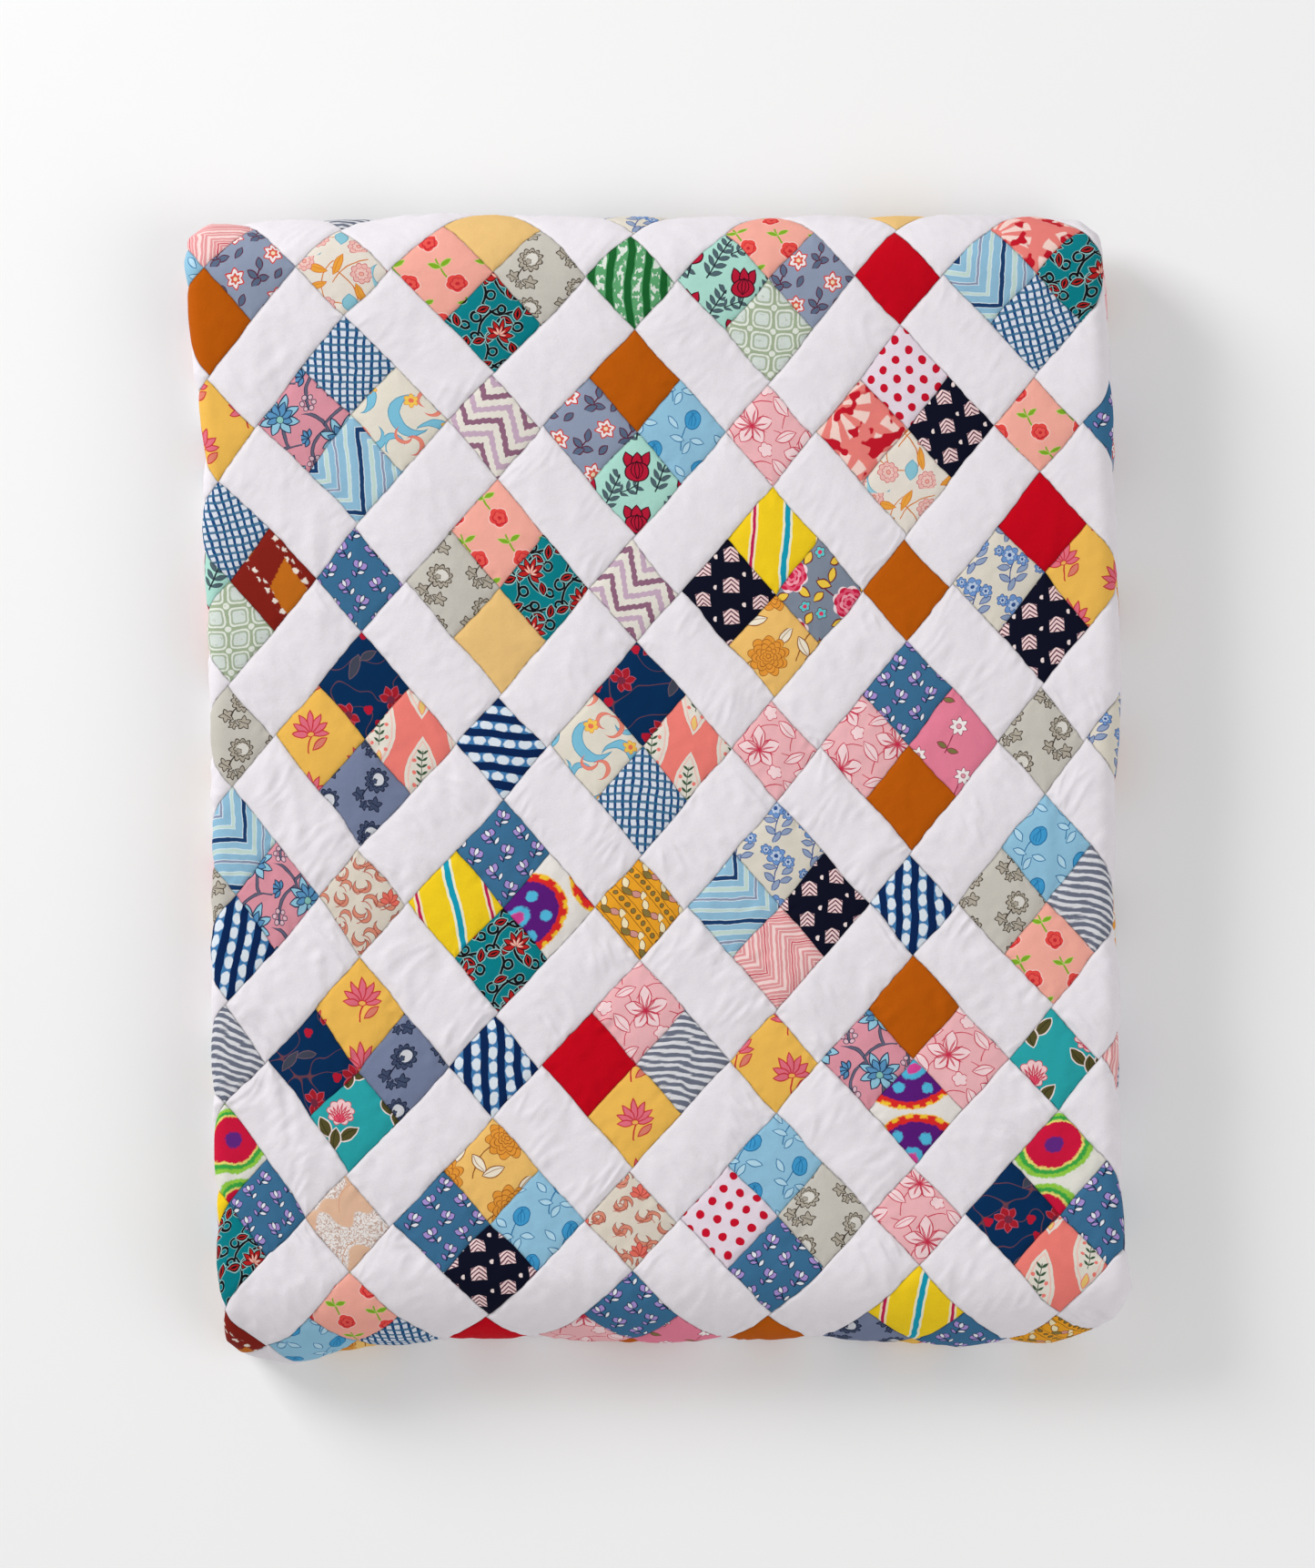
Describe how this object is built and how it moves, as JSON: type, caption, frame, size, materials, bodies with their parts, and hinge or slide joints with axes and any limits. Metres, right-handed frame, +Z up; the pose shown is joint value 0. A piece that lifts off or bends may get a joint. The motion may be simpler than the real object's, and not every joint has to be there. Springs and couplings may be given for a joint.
{
  "type": "folded patchwork quilt",
  "caption": "Padded patchwork quilt of small prints between white strips, folded in thirds both ways into a flat soft-edged stack.",
  "frame": {"origin": "centre of the folded quilt's outline, seen from above, at the level of the surface it lies on", "axes": "+Z up from that surface, +Y along the longer side to the back edge, where the free ends of the cloth lie under the roll of the fold, +X to the right seen from above"},
  "size_m": [0.7726, 0.9456, 0.0927],
  "materials": {
    "quilted_cotton": "matt washed cotton, padded and quilted"
  },
  "bodies": {
    "root": {"quilt": "quilted_cotton"}
  },
  "joints": []
}
